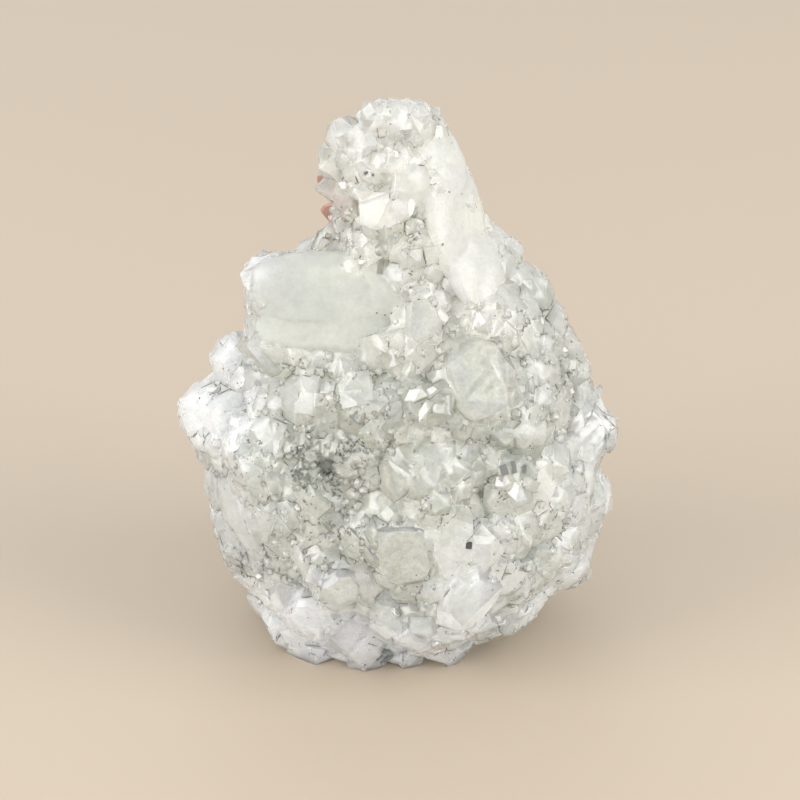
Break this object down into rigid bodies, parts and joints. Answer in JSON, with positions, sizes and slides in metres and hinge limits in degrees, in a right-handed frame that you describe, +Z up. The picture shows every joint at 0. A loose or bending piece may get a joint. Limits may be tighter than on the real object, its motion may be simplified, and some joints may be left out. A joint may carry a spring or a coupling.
{
  "type": "apophyllite cluster",
  "caption": "Upright pear-shaped mineral specimen of blunt translucent square crystals grown together, with a narrow crystal peak and a flat foot.",
  "frame": {"origin": "middle of the cluster's outline, on the plane of the flat foot that it rests on", "axes": "+Z up through the peak, the broad front towards -Y, the width along X and the depth along Y"},
  "size_m": [0.0516, 0.0378, 0.0689],
  "materials": {
    "crystal": "vitreous, partly frosted"
  },
  "bodies": {
    "root": {"apophyllite_cluster": "crystal"}
  },
  "joints": []
}
